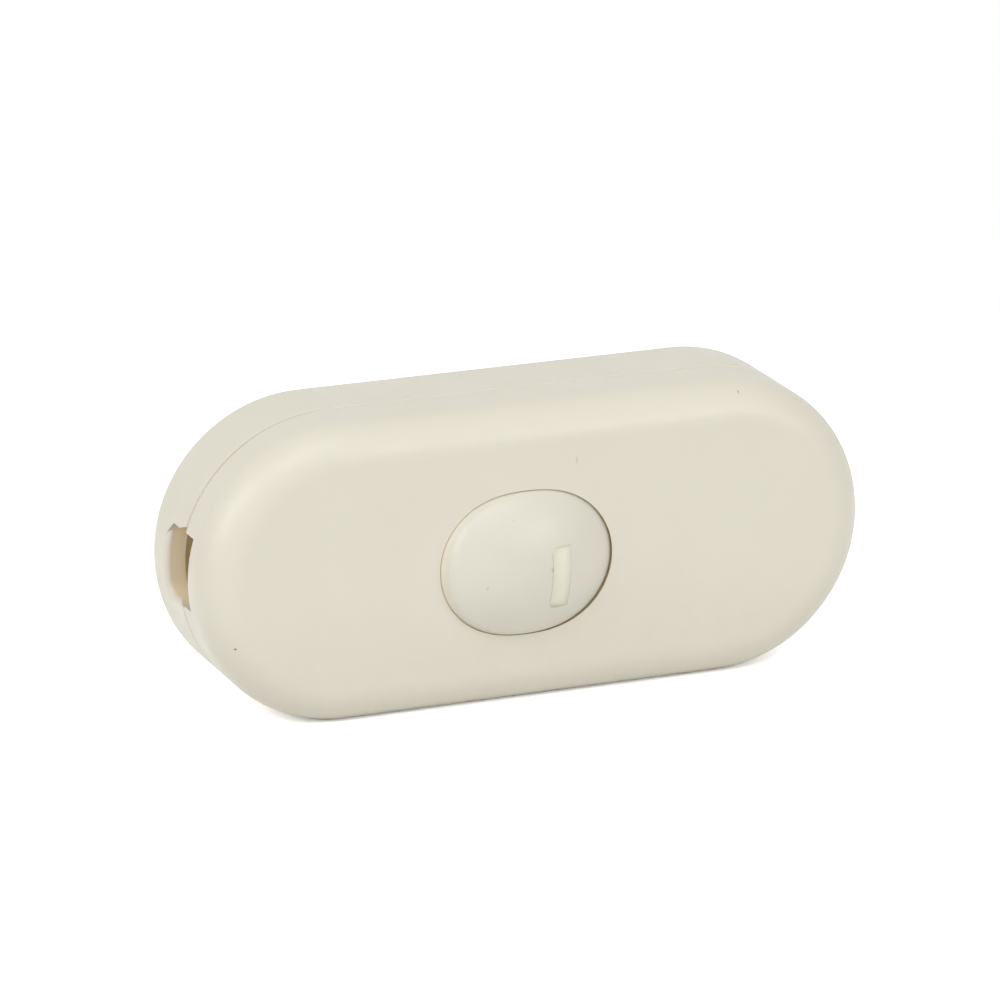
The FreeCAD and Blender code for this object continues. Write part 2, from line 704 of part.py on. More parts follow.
def make_plunger_spring():
    """The coil spring between the bottom of the stem's bore and the plunger."""
    body = new_body("plunger_spring")
    start = "(stem_reach - bore_depth + spring_wire + spring_end_gap)"
    end = "(plunger_back - spring_wire - spring_end_gap)"
    sketch = new_sketch(body, "wire_outline", "XY_Plane", "0")
    circles([("spring_radius", start)], "spring_wire")(sketch)
    coil = body.newObject("PartDesign::AdditiveHelix", "coil")
    coil.Profile = sketch
    coil.ReferenceAxis = (sketch, ["V_Axis"])
    coil.Mode = "height-turns-angle"
    coil.setExpression("Height", bind(f"{end} - {start}"))
    coil.setExpression("Turns", bind("spring_turns"))
    doc.recompute()
    place(body, "rocker_offset", HINGE, "rocker_height", "rest_tilt")
    return body


def make_contact_blade():
    """The see-saw: a shallow V of spring metal on a round bead, left arm pressed flat at rest."""
    body = new_body("contact_blade")
    rise = "(blade_half_length * tan(blade_angle))"
    thick = "(blade_thickness / cos(blade_angle))"
    outline = polygon(
        ("-blade_half_length", f"-bead_drop - {rise}"), ("0", "-bead_drop"),
        ("blade_half_length", f"-bead_drop - {rise}"),
        ("blade_half_length", f"{thick} - bead_drop - {rise}"), ("0", f"{thick} - bead_drop"),
        ("-blade_half_length", f"{thick} - bead_drop - {rise}"),
    )
    across = ("-blade_width / 2", "blade_width / 2")
    extrude(body, "blade", "XY_Plane", *across, outline)
    extrude(body, "bead", "XY_Plane", *across, circles([("0", "0")], "bead_radius"))
    place(body, "rocker_offset", BEAD, "rocker_height", "-blade_angle")
    return body


def make_contact(name, low, thickness):
    """A round contact button on the left arm's line."""
    body = new_body(name)
    button = circles([(CONTACT_X, "rocker_height")], "contact_radius")
    pad(body, f"{name}_button", low, f"{low} + {thickness}", button)
    return body


def terminal_hole(body, centres):
    """Cuts the threaded hole of each terminal screw through a plate."""
    hole = circles(centres, "(terminal_screw_radius + thread_clearance)")
    pocket(body, f"{body.Label}_hole", PLATE, PLATE_BACK, hole)


def make_line_terminal():
    """The incoming plate: a strip under the contacts that turns up to the screw pad."""
    body = new_body("line_terminal")
    x, z = TERMINALS["line"]
    low, high = "rocker_height - strip_half_width", "rocker_height + strip_half_width"
    tip = f"{CONTACT_X} + strip_end"
    outline = polygon(
        (tip, low), (tip, high), (f"{x} + pad_half", high), (f"{x} + pad_half", f"{z} + pad_half"),
        (f"{x} - pad_half", f"{z} + pad_half"), (f"{x} - pad_half", low),
    )
    pad(body, "line_plate", PLATE, PLATE_BACK, outline)
    terminal_hole(body, [TERMINALS["line"]])
    return body


def make_load_terminal():
    """The outgoing plate, with the saddle that carries the see-saw and the stop for its right arm."""
    body = new_body("load_terminal")
    x, z = TERMINALS["load"]
    low, high = "rocker_height - strip_half_width", "rocker_height + strip_half_width"
    tip = "rocker_offset - saddle_half_length"
    outline = polygon(
        (tip, low), (f"{x} + pad_half", low), (f"{x} + pad_half", f"{z} + pad_half"),
        (f"{x} - pad_half", f"{z} + pad_half"), (f"{x} - pad_half", high), (tip, high),
    )
    pad(body, "load_plate", PLATE, PLATE_BACK, outline)
    saddle = rectangle(tip, "rocker_offset + saddle_half_length", low, high)
    pad(body, "saddle", BEAD, PLATE, saddle)
    groove = circles([("rocker_offset", BEAD)], "(bead_radius + saddle_clearance)")
    extrude(body, "saddle_groove", "XY_Plane", low, high, groove, cut=True)
    stop_x = "(rocker_offset + contact_arm)"
    stop = rectangle(f"{stop_x} - stop_half_length", f"{stop_x} + stop_half_length", low, high)
    pad(body, "arm_stop", f"{ARM_BACK} + stop_gap", PLATE, stop)
    terminal_hole(body, [TERMINALS["load"]])
    return body


def make_neutral_link():
    """The unswitched bar that joins the two lower wire ends."""
    body = new_body("neutral_link")
    ends = [TERMINALS["left_neutral"], TERMINALS["right_neutral"]]
    z = LOWER_TERMINALS
    inner = f"({TERMINAL_X} - pad_half)"
    outer = f"({TERMINAL_X} + pad_half)"
    low_pad, high_pad = f"{z} - pad_half", f"{z} + pad_half"
    low, high = f"{z} - link_half_width", f"{z} + link_half_width"
    outline = polygon(
        (f"-{outer}", low_pad), (f"-{inner}", low_pad), (f"-{inner}", low), (inner, low), (inner, low_pad),
        (outer, low_pad), (outer, high_pad), (inner, high_pad), (inner, high), (f"-{inner}", high),
        (f"-{inner}", high_pad), (f"-{outer}", high_pad),
    )
    pad(body, "link_plate", PLATE, PLATE_BACK, outline)
    terminal_hole(body, ends)
    return body


def make_wire_clamp(name, centre):
    """The square clamp plate under a terminal screw."""
    body = new_body(name)
    x, z = centre
    half = "clamp_plate_half"
    outline = rectangle(f"{x} - {half}", f"{x} + {half}", f"{z} - {half}", f"{z} + {half}")
    front = f"{PLATE} - clamp_plate_thickness"
    pad(body, f"{name}_plate", front, PLATE, outline)
    round_edges(body, f"{name}_rounding", "clamp_plate_rounding", lies_at(front))
    hole = circles([centre], "(terminal_screw_radius + pedestal_clearance)")
    pocket(body, f"{name}_hole", front, PLATE, hole)
    return body


def make_cord_clamp(side, sign):
    """The fibre bar that holds the cord down on its bed, with a tooth along its middle."""
    name = f"{side}_cord_clamp"
    body = new_body(name)
    x = f"{sign} * {CLAMP_X}"
    left, right = f"{x} - cord_clamp_width / 2", f"{x} + cord_clamp_width / 2"
    low, high = "slot_centre - cord_clamp_half_length", "slot_centre + cord_clamp_half_length"
    front = f"{CLAMP_SEAT} - cord_clamp_thickness"
    pad(body, f"{name}_bar", front, CLAMP_SEAT, rectangle(left, right, low, high))
    ends = number(low), number(high)
    along_depth = number("cord_clamp_thickness")
    round_edges(
        body, f"{name}_corners", "cord_clamp_corner",
        lambda edge: abs(edge.BoundBox.YLength - along_depth) < TOUCH
        and min(abs(edge.BoundBox.ZMin - end) for end in ends) < TOUCH,
    )
    tooth = polygon(
        (f"{x} - cord_clamp_tooth", CLAMP_SEAT), (f"{x} + cord_clamp_tooth", CLAMP_SEAT),
        (x, f"{CLAMP_SEAT} + cord_clamp_tooth"),
    )
    reach = "(clamp_screw_spread - clamp_post_radius - tooth_clearance)"
    extrude(body, f"{name}_tooth", "XY_Plane", f"slot_centre - {reach}", f"slot_centre + {reach}", tooth)
    centres = [centre for centre in CLAMP_SCREWS if centre[0] == x]
    holes = circles(centres, "(clamp_screw_radius + shank_clearance)")
    pocket(body, f"{name}_holes", front, CLAMP_SEAT, holes)
    return body


def build():
    """Makes every sub-part and gives them back in order."""
    parts = [
        make_front_cover(),
        make_rear_shell(),
        make_rocker_button(),
        make_rocker_plunger(),
        make_plunger_spring(),
        make_contact_blade(),
        make_contact("moving_contact", ARM_BACK, "moving_contact_thickness"),
        make_contact("fixed_contact", FIXED_FACE, "fixed_contact_thickness"),
        make_line_terminal(),
        make_load_terminal(),
        make_neutral_link(),
    ]
    parts += [make_wire_clamp(f"{name}_wire_clamp", centre) for name, centre in TERMINALS.items()]
    parts += [make_cord_clamp(side, sign) for side, sign in CLAMP_SIDES.items()]
    parts.append(screws(
        "terminal_screws", list(TERMINALS.values()), f"({PLATE} - clamp_plate_thickness)", -1,
        "terminal_head_radius", "terminal_head_height", "terminal_screw_radius", "terminal_screw_length",
    ))
    parts.append(screws(
        "cord_clamp_screws", CLAMP_SCREWS, f"({CLAMP_SEAT} - cord_clamp_thickness)", -1,
        "clamp_head_radius", "clamp_head_height", "clamp_screw_radius", "clamp_screw_length",
    ))
    parts.append(screws(
        "housing_screws", BOSSES, HEAD_SEAT, 1,
        "screw_head_radius", "screw_head_height", "screw_radius", "screw_length",
    ))
    return parts


def check(parts):
    """Stops if any object failed or any sub-part has no sound shape."""
    doc.recompute()
    failed = [item.Name for item in doc.Objects if {"Invalid", "Error"} & set(item.State)]
    failed += [part.Label for part in parts if part.Shape.isNull() or not part.Shape.isValid()]
    if failed:
        raise RuntimeError(f"these did not build: {failed}")


def write(parts):
    """Writes each sub-part to a file of its own."""
    os.makedirs("parts", exist_ok=True)
    for part in parts:
        part.Shape.exportStep(os.path.join("parts", f"{part.Label}.step"))


sub_parts = build()
check(sub_parts)
write(sub_parts)
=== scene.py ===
"""Looks of the inline cord switch: a finish for every piece and a plain white studio.

The file is laid out as an add-on and run as a script. Lengths are metres in the part's own frame: +X runs
along the housing, the rocker faces -Y and +Z is up.
"""
import json
import math

import bpy
from mathutils import Matrix, Vector


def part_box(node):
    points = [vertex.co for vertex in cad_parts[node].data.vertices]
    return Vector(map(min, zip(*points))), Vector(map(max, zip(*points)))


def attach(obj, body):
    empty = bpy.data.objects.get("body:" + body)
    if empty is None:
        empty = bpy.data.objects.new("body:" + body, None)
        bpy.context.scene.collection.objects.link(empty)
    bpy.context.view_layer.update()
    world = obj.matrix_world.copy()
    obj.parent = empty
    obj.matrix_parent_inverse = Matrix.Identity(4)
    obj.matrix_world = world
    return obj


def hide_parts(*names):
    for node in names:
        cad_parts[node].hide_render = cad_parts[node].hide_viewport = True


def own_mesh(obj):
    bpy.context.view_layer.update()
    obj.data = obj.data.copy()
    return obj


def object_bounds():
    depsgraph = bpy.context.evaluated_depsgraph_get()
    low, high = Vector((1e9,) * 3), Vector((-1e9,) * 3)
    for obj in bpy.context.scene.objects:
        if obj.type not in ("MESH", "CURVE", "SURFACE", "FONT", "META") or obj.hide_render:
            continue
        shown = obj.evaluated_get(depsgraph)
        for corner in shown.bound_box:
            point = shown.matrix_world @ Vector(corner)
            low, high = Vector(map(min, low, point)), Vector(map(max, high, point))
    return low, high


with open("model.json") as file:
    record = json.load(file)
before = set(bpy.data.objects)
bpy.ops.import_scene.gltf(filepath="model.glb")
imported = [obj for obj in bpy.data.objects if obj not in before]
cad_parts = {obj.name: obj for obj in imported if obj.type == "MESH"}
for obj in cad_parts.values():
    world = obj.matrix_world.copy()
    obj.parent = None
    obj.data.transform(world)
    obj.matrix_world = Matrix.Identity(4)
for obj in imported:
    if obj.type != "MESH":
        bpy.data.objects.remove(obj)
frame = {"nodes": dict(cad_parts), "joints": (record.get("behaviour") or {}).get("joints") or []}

bl_info = {
    "name": "Inline Cord Switch",
    "version": (1, 0, 0),
    "blender": (4, 5, 0),
    "location": "View3D > Sidebar > Cord Switch",
    "description": "Finishes the pieces of an inline cord switch and sets up its studio",
    "category": "Object",
}

MM = 0.001
CAD_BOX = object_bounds()

HALF_LENGTH = CAD_BOX[1].x
END_RADIUS = (CAD_BOX[1].z - CAD_BOX[0].z) / 2
END_CENTRE = HALF_LENGTH - END_RADIUS
MIDDLE = (CAD_BOX[1].z + CAD_BOX[0].z) / 2
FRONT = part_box("front_cover")[0].y

JOINTS = {joint["name"]: joint for joint in frame["joints"]}
HINGE = Vector(JOINTS["rocker_tilt"]["pos_m"])
ROCKER_FACING = Vector(JOINTS["plunger_slide"]["axis"])
ROCKER_ALONG = Vector((-ROCKER_FACING.y, ROCKER_FACING.x, 0.0))

# Patches on the rocker's face: where each starts, is full, is still full and ends, from the hinge.
# The bar patch lightens the recess floor: partly the bar's creamier tone, partly painted light that lifts the
# floor out of its shade.
BAR_ACROSS = (0.84 * MM, 0.92 * MM, 2.0 * MM, 2.6 * MM)
BAR_UP = (-3.7 * MM, -3.1 * MM, 1.6 * MM, 1.78 * MM)
# The bar shadow patch is a painted shadow along the bar's left edge.
BAR_SHADOW_ACROSS = (0.68 * MM, 0.76 * MM, 0.84 * MM, 0.9 * MM)
BAR_SHADOW_UP = (-3.6 * MM, -3.2 * MM, 1.0 * MM, 1.6 * MM)
# Where the rocker's rim turns into its skirt, in front of the hinge.
RIM_FADE = (1.9 * MM, 2.7 * MM)

# Where the outer faces of the shells turn into inner ones: depths under the outline, and places along Y.
SLOT_DEPTH = (0.1 * MM, 1.0 * MM)
SLOT_HALF_WIDTH = (3.4 * MM, 3.8 * MM)
OPENING_DEPTH = (3.3 * MM, 3.5 * MM)
SIDE_WALL_DEPTH = (1.5 * MM, 1.75 * MM)
UNDER_FRONT = (FRONT + 0.03 * MM, FRONT + 0.6 * MM)
UNDER_FACE_WALL = (FRONT + 3.2 * MM, FRONT + 3.4 * MM)
UNDER_BACK = (5.2 * MM, 5.4 * MM)
HOLLOW_SHARE = 0.55

# Small marks on the plastic: the place, stretch, size and strength of each.
SHELL_MARKS = (
    ((-27.38 * MM, FRONT + 0.3 * MM, 8.06 * MM), (1.0, 0.2, 1.0), 0.14 * MM, 0.85),
    ((18.2 * MM, FRONT + 1.2 * MM, 25.05 * MM), (1.5, 0.2, 0.7), 0.13 * MM, 0.6),
    ((3.03 * MM, FRONT, 21.06 * MM), (1.5, 1.0, 0.5), 0.2 * MM, 0.22),
)
ROCKER_MARKS = (
    ((-5.89 * MM, -9.0 * MM, 11.51 * MM), (1.5, 0.1, 0.7), 0.12 * MM, 0.4),
)
MARK_RAGGED = 0.12 * MM

# Flecks in the plastic: their spacing, their size and the share of places that have one.
SHELL_FLECKS = (5 * MM, 0.06 * MM, 0.5)
ROCKER_FLECKS = (4 * MM, 0.05 * MM, 0.4)
FLECK_COLOUR = (150, 132, 98)
FLECK_STRENGTH = 0.5
FLECK_WOBBLE_SIZE = 0.3 * MM
FLECK_WOBBLE = 0.1 * MM

# Moulded plastic: the tint of its darker tones, and how its roughness varies.
MOTTLE_TINT = (168, 148, 104)
MOTTLE_TINT_SHARE = 0.07
SMEAR_SHARE = 0.45
ROUGHNESS_SWING = 0.05
POLISHED_RELIEF = 0.15
# Patch size of the painted tints: painted shade on the lower half and painted warm light inside the housing.
TINT_PATCH = 1.1 * MM

# Worked metal: the share of the film, the stretch of the drawn lines and the roughness of each.
METALS = {
    "spring_steel": (0.3, (1.0, 1.0, 0.2), 0.32),
    "contact_brass": (0.5, (0.1, 1.0, 1.0), 0.3),
    "contact_silver": (0.12, (1.0, 1.0, 1.0), 0.25),
    "zinc_steel": (0.4, (1.0, 0.3, 1.0), 0.36),
}
FILM_PATCH = 1.6 * MM
FILM_ROUGHNESS = 0.2
LINE_WIDTH = 0.08 * MM
LINE_HEIGHT = 0.0015 * MM
LINE_ROUGHNESS_SWING = 0.06

STRAND_STRETCH = (1.0, 3.0, 0.25)
STRAND_WIDTH = 0.22 * MM
STRAND_HEIGHT = 0.01 * MM
FIBRE_ROUGHNESS = 0.7

# The soft lamps: the place, width and height of each.
SOFTBOXES = {
    "key": (Vector((-0.05, -0.42, 0.62)), 0.5, 0.4),
    "left": (Vector((-0.7, -0.25, 0.42)), 0.5, 0.45),
    "right": (Vector((0.41, -0.64, 0.26)), 0.4, 0.35),
}
NEAREST_SEEN = 0.01

FLOOR_HALF_WIDTH = 3.0
# How far from the part the floor's shadow fades into plain white.
SHADOW_FADE = (0.07, 0.13)
# The floor's white for light that bounces off it, for reflections of it and for the camera.
BOUNCED_WHITE = (0.78, 0.78, 0.78)
MIRRORED_WHITE = (1.7, 1.7, 1.7)
SEEN_WHITE = (2.3, 2.33, 2.45)


def from_screen(red, green, blue):
    """Turns a screen colour of 0 to 255 into the linear values that shaders use."""
    def linear(level):
        share = level / 255
        return share / 12.92 if share <= 0.04045 else ((share + 0.055) / 1.055) ** 2.4
    return tuple(linear(level) for level in (red, green, blue))


def colour_property(name, description, screen):
    """A colour that a user may change, given as a screen colour."""
    return bpy.props.FloatVectorProperty(
        name=name, description=description, subtype="COLOR", size=3, min=0.0, max=1.0,
        default=from_screen(*screen),
    )


def length_property(name, description, metres):
    """A length that a user may change."""
    return bpy.props.FloatProperty(
        name=name, description=description, unit="LENGTH", min=0.0, default=metres, precision=6,
    )


def share_property(name, description, share):
    """A share from 0 to 1 that a user may change."""
    return bpy.props.FloatProperty(
        name=name, description=description, subtype="FACTOR", min=0.0, max=1.0, default=share,
    )


def power_property(name, description, watts):
    """The power of a lamp, which a user may change."""
    return bpy.props.FloatProperty(
        name=name, description=description, unit="POWER", min=0.0, default=watts,
    )


class PlasticSettings(bpy.types.PropertyGroup):
    """Colours and surface of the moulded plastic pieces."""
    shell: colour_property("Shell", "Ivory of the two housing shells", (230, 225, 208))
    rocker: colour_property("Rocker", "Ivory of the rocker", (226, 223, 208))
    # Partly the bar's creamier tone, partly painted light on the recess floor.
    bar: colour_property("Bar", "Lighter floor of the bar in the rocker", (241, 235, 216))
    plunger: colour_property("Plunger", "Off-white of the plunger inside the rocker", (208, 204, 192))
    # Painted warm light: lighter and yellower than the shell, it stands in for light coming through the walls
    # and bouncing between them in the slots and gaps.
    painted_light_tint: colour_property("Grime", "Yellowed, greasy plastic inside the slots and gaps", (238, 223, 188))
    glow: colour_property("Glow", "Light that the walls let through to the inner faces", (80, 71, 54))
    # Painted shade: this grey darkens the lower half of the plastic and draws the shadow along the bar's left
    # edge.
    film: colour_property("Film", "Grey film of handling on the lower half", (150, 146, 131))
    speck: colour_property("Speck", "Small dark marks on the faces", (96, 86, 66))
    shell_roughness: share_property("Shell roughness", "How matt the shells are", 0.36)
    rocker_roughness: share_property("Rocker roughness", "How matt the polished rocker is", 0.34)
    # Strengths of the painted shade on the lower half.
    shell_lower_shade: share_property("Shell film", "Strength of the film on the shells", 0.12)
    rocker_lower_shade: share_property("Rocker film", "Strength of the film on the rocker", 0.2)
    # Strengths of the painted warm light inside the shells and on the rocker's skirt.
    shell_warm_light: share_property("Shell grime", "Strength of the grime inside the shells", 0.85)
    rocker_warm_light: share_property("Rocker grime", "Strength of the grime on the rocker's skirt", 0.5)
    # Strength of the painted shadow along the bar's left edge.
    bar_edge_shadow: share_property("Bar edge", "Strength of the film along the bar's left edge", 0.3)
    mottle: share_property("Mottle", "How much the ivory varies in tone", 0.35)
    mottle_size: length_property("Mottle size", "Width of the tone changes", 7 * MM)
    grain_size: length_property("Grain size", "Width of the fine moulded grain", 0.16 * MM)
    grain_height: length_property("Grain height", "Height of the fine moulded grain", 0.0012 * MM)
    wave_size: length_property("Wave size", "Width of the soft unevenness of the faces", 9 * MM)
    wave_height: length_property("Wave height", "Height of the soft unevenness", 0.012 * MM)


class MetalSettings(bpy.types.PropertyGroup):
    """Colours of the metal and fibre pieces."""
    brass: colour_property("Brass", "Stamped brass of the terminals and the see-saw", (206, 170, 98))
    tarnish: colour_property("Tarnish", "Brown film on old brass", (140, 98, 48))
    silver: colour_property("Silver", "Faces of the contacts", (214, 212, 205))
    zinc: colour_property("Zinc", "Zinc plating of the screws and clamp plates", (178, 178, 174))
    spring: colour_property("Spring", "Drawn spring wire", (150, 150, 150))
    fibre: colour_property("Fibre", "Pressed fibre of the cord clamps", (124, 78, 44))
    fibre_dark: colour_property("Dark fibre", "Darker strands in the fibre", (78, 46, 26))


class StudioSettings(bpy.types.PropertyGroup):
    """Camera and lights."""
    side_angle: bpy.props.FloatProperty(
        name="Side angle", description="How far the camera stands left of the front",
        subtype="ANGLE", default=math.radians(22.49))
    height_angle: bpy.props.FloatProperty(
        name="Height angle", description="How far the camera stands above the front",
        subtype="ANGLE", default=math.radians(17.71))
    roll: bpy.props.FloatProperty(
        name="Roll", description="Turn of the camera about its line of sight",
        subtype="ANGLE", default=math.radians(0.17))
    distance: length_property("Distance", "From the camera to the point that it aims at", 0.56544)
    aim_height: length_property("Aim height", "Height of the point that the camera aims at", 13 * MM)
    aim_depth: length_property("Aim depth", "Depth of the point that the camera aims at", 0.85 * MM)
    lens: bpy.props.FloatProperty(
        name="Lens", description="Focal length in millimetres", min=1.0, default=239.86)
    shift_x: bpy.props.FloatProperty(
        name="Shift X", description="Sideways shift of the picture", default=-0.0067)
    shift_y: bpy.props.FloatProperty(
        name="Shift Y", description="Upward shift of the picture", default=0.029)
    ambient: bpy.props.FloatProperty(
        name="Ambient", description="Strength of the even light of the room", min=0.0, default=0.53)
    key_power: power_property("Key power", "Power of the soft light above the front", 1.0)
    left_power: power_property("Left power", "Power of the soft light at the left", 2.1)
    right_power: power_property("Right power", "Power of the soft light at the right", 1.06)


class NodeMaker:
    """Adds nodes to a tree, setting and joining their inputs by name."""

    def __init__(self, tree):
        self.tree = tree

    def add(self, kind, inputs=None, **settings):
        """A node with its settings and inputs, where an input is a value or another node's output."""
        node = self.tree.nodes.new(kind)
        for name, value in settings.items():
            setattr(node, name, value)
        for name, value in (inputs or {}).items():
            self.set(node.inputs[name], value)
        return node

    def set(self, socket, value):
        """Joins an output to an input, or sets the input's value."""
        if isinstance(value, bpy.types.NodeSocket):
            self.tree.links.new(value, socket)
        elif socket.type == "RGBA" and len(value) == 3:
            socket.default_value = (*value, 1.0)
        else:
            socket.default_value = value

    def maths(self, operation, first, second=0.0, clamp=False):
        """The result of a sum on two values."""
        node = self.add("ShaderNodeMath", operation=operation, use_clamp=clamp)
        self.set(node.inputs[0], first)
        self.set(node.inputs[1], second)
        return node.outputs[0]

    def vector_maths(self, operation, first, second):
        """The result of a sum on two vectors."""
        node = self.add("ShaderNodeVectorMath", operation=operation)
        self.set(node.inputs[0], first)
        self.set(node.inputs[1], second)
        return node.outputs[0]

    def ramp(self, value, low, high, start=0.0, end=1.0):
        """A smooth change from one value to another between two limits."""
        return self.add("ShaderNodeMapRange", {
            "Value": value, "From Min": low, "From Max": high, "To Min": start, "To Max": end,
        }, interpolation_type="SMOOTHSTEP").outputs["Result"]

    def blend(self, factor, first, second):
        """A mix of two colours."""
        node = self.add("ShaderNodeMix", data_type="RGBA")
        colours = [socket for socket in node.inputs if socket.type == "RGBA"]
        self.set(node.inputs["Factor"], factor)
        self.set(colours[0], first)
        self.set(colours[1], second)
        return next(socket for socket in node.outputs if socket.type == "RGBA")

    def noise(self, vector, size, detail=2.0, roughness=0.5):
        """Noise of a real feature size: an output from 0 to 1."""
        scale = self.maths("DIVIDE", 1.0, size)
        return self.add("ShaderNodeTexNoise", {
            "Vector": vector, "Scale": scale, "Detail": detail, "Roughness": roughness,
        }).outputs["Fac"]


SOCKETS = {"colour": "NodeSocketColor", "value": "NodeSocketFloat", "vector": "NodeSocketVector"}


def new_group(name, inputs, outputs):
    """A shader node group with named sockets: its maker, its input outlets and its output node."""
    group = bpy.data.node_groups.new(name, "ShaderNodeTree")
    for socket, kind in inputs.items():
        group.interface.new_socket(name=socket, in_out="INPUT", socket_type=SOCKETS[kind])
    for socket, kind in outputs.items():
        group.interface.new_socket(name=socket, in_out="OUTPUT", socket_type=SOCKETS[kind])
    maker = NodeMaker(group)
    given = maker.add("NodeGroupInput").outputs
    result = maker.add("NodeGroupOutput").inputs
    return group, maker, given, result


def moulded_plastic_group():
    """Tone changes, fine grain and soft unevenness of a moulded face."""
    group, maker, given, result = new_group(
        "Moulded plastic",
        {"Vector": "vector", "Colour": "colour", "Mottle": "value", "Mottle size": "value",
         "Grain size": "value", "Grain height": "value", "Wave size": "value", "Wave height": "value",
         "Roughness": "value"},
        {"Colour": "colour", "Roughness": "value", "Height": "value"},
    )
    tone = maker.noise(given["Vector"], given["Mottle size"], detail=4.0)
    darker = maker.blend(MOTTLE_TINT_SHARE, given["Colour"], from_screen(*MOTTLE_TINT))
    share = maker.maths("MULTIPLY", maker.ramp(tone, 0.35, 0.7), given["Mottle"])
    maker.set(result["Colour"], maker.blend(share, given["Colour"], darker))

    grain = maker.noise(given["Vector"], given["Grain size"], detail=2.0)
    wave = maker.noise(given["Vector"], given["Wave size"], detail=1.0)
    smear_size = maker.maths("MULTIPLY", given["Mottle size"], SMEAR_SHARE)
    smear = maker.noise(given["Vector"], smear_size, detail=3.0)
    maker.set(result["Roughness"], maker.maths(
        "ADD", given["Roughness"], maker.ramp(smear, 0.3, 0.7, -ROUGHNESS_SWING, ROUGHNESS_SWING)))
    heights = [
        maker.maths("MULTIPLY", grain, given["Grain height"]),
        maker.maths("MULTIPLY", wave, given["Wave height"]),
    ]
    maker.set(result["Height"], maker.maths("ADD", *heights))
    return group


def painted_tint_group():
    """Blends a colour in, in patches, where a mask lets it in: painted shade on the lower half and painted
    warm light inside the housing.
    """
    group, maker, given, result = new_group(
        "Settled grime",
        {"Vector": "vector", "Colour": "colour", "Grime": "colour", "Where": "value", "Strength": "value"},
        {"Colour": "colour"},
    )
    patches = maker.ramp(maker.noise(given["Vector"], TINT_PATCH, detail=3.0), 0.25, 0.65, 0.75, 1.0)
    share = maker.maths("MULTIPLY", given["Where"], given["Strength"])
    mask = maker.maths("MULTIPLY", share, patches, clamp=True)
    maker.set(result["Colour"], maker.blend(mask, given["Colour"], given["Grime"]))
    return group


def speck_group():
    """One small mark at a place of its own."""
    group, maker, given, result = new_group(
        "Speck",
        {"Vector": "vector", "Colour": "colour", "Speck": "colour", "Place": "vector", "Stretch": "vector",
         "Size": "value", "Strength": "value"},
        {"Colour": "colour"},
    )
    ragged = maker.add("ShaderNodeTexNoise", {"Vector": given["Vector"], "Scale": 1 / MARK_RAGGED})
    centred = maker.vector_maths("SUBTRACT", ragged.outputs["Color"], (0.5, 0.5, 0.5))
    offset = maker.vector_maths("SUBTRACT", given["Vector"], given["Place"])
    wavy = maker.vector_maths("ADD", offset, maker.vector_maths("MULTIPLY", centred, (MARK_RAGGED,) * 3))
    stretched = maker.vector_maths("MULTIPLY", wavy, given["Stretch"])
    away = maker.add("ShaderNodeVectorMath", {0: stretched}, operation="LENGTH").outputs["Value"]
    spot = maker.ramp(maker.maths("DIVIDE", away, given["Size"]), 0.4, 1.0, 1.0, 0.0)
    mask = maker.maths("MULTIPLY", spot, given["Strength"])
    maker.set(result["Colour"], maker.blend(mask, given["Colour"], given["Speck"]))
    return group


def flecks_group():
    """A few small specks of dirt and inclusions, far apart."""
    group, maker, given, result = new_group(
        "Flecks",
        {"Vector": "vector", "Colour": "colour", "Fleck": "colour", "Spacing": "value", "Size": "value",
         "Share": "value"},
        {"Colour": "colour"},
    )
    scale = maker.maths("DIVIDE", 1.0, given["Spacing"])
    wobble = maker.add("ShaderNodeTexNoise", {"Vector": given["Vector"], "Scale": 1 / FLECK_WOBBLE_SIZE})
    shift = maker.vector_maths("MULTIPLY", wobble.outputs["Color"], (FLECK_WOBBLE,) * 3)
    shifted = maker.vector_maths("ADD", given["Vector"], shift)
    cells = maker.add("ShaderNodeTexVoronoi", {"Vector": shifted, "Scale": scale})
    radius = maker.maths("DIVIDE", given["Size"], given["Spacing"])
    spot = maker.maths("LESS_THAN", cells.outputs["Distance"], radius)
    chance = maker.add("ShaderNodeSeparateColor", {"Color": cells.outputs["Color"]}).outputs["Red"]
    chosen = maker.maths("LESS_THAN", chance, given["Share"])
    mask = maker.maths("MULTIPLY", spot, chosen)
    strength = maker.maths("MULTIPLY", mask, FLECK_STRENGTH)
    maker.set(result["Colour"], maker.blend(strength, given["Colour"], given["Fleck"]))
    return group


def worked_metal_group():
    """Drawn or rolled lines, a patchy film and small dents of a metal piece."""
    group, maker, given, result = new_group(
        "Worked metal",
        {"Vector": "vector", "Colour": "colour", "Film": "colour", "Film share": "value",
         "Line stretch": "vector", "Roughness": "value"},
        {"Colour": "colour", "Roughness": "value", "Height": "value"},
    )
    patches = maker.noise(given["Vector"], FILM_PATCH, detail=4.0, roughness=0.6)
    film = maker.maths("MULTIPLY", maker.ramp(patches, 0.4, 0.72), given["Film share"])
    maker.set(result["Colour"], maker.blend(film, given["Colour"], given["Film"]))
    along = maker.vector_maths("MULTIPLY", given["Vector"], given["Line stretch"])
    lines = maker.noise(along, LINE_WIDTH, detail=2.0)
    swing = maker.ramp(lines, 0.3, 0.7, -LINE_ROUGHNESS_SWING, LINE_ROUGHNESS_SWING)
    rough = maker.maths("ADD", given["Roughness"], swing)
    maker.set(result["Roughness"], maker.maths("ADD", rough, maker.maths("MULTIPLY", film, FILM_ROUGHNESS)))
    maker.set(result["Height"], maker.maths("MULTIPLY", lines, LINE_HEIGHT))
    return group


def shared_group(name, build):
    """A node group, built the first time that it is asked for."""
    return bpy.data.node_groups.get(name) or build()


